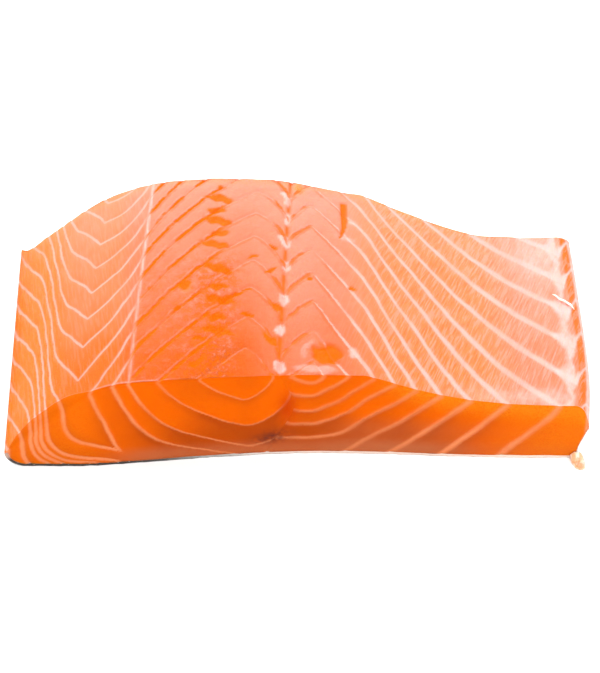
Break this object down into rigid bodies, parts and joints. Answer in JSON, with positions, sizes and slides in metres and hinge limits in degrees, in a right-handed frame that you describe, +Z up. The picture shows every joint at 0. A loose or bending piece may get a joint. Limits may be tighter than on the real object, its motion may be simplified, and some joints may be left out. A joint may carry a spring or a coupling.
{
  "type": "raw salmon fillet",
  "caption": "Thick raw salmon fillet portion, cut straight across the whole side of the fish, with the skin underneath and pale fat lines in a zigzag.",
  "frame": {"origin": "middle of the box of the whole piece, on the surface the skin rests on", "axes": "+X across the fish from the back edge to the belly edge, +Y along the fish away from the front cut, +Z up from the skin to the flesh"},
  "size_m": [0.1694, 0.0916, 0.0356],
  "materials": {
    "flesh": "wet orange fish muscle with pale fat lines",
    "skin": "wet silver grey fish skin with fine scales"
  },
  "bodies": {
    "root": {"flesh": "flesh", "skin": "skin"}
  },
  "joints": []
}
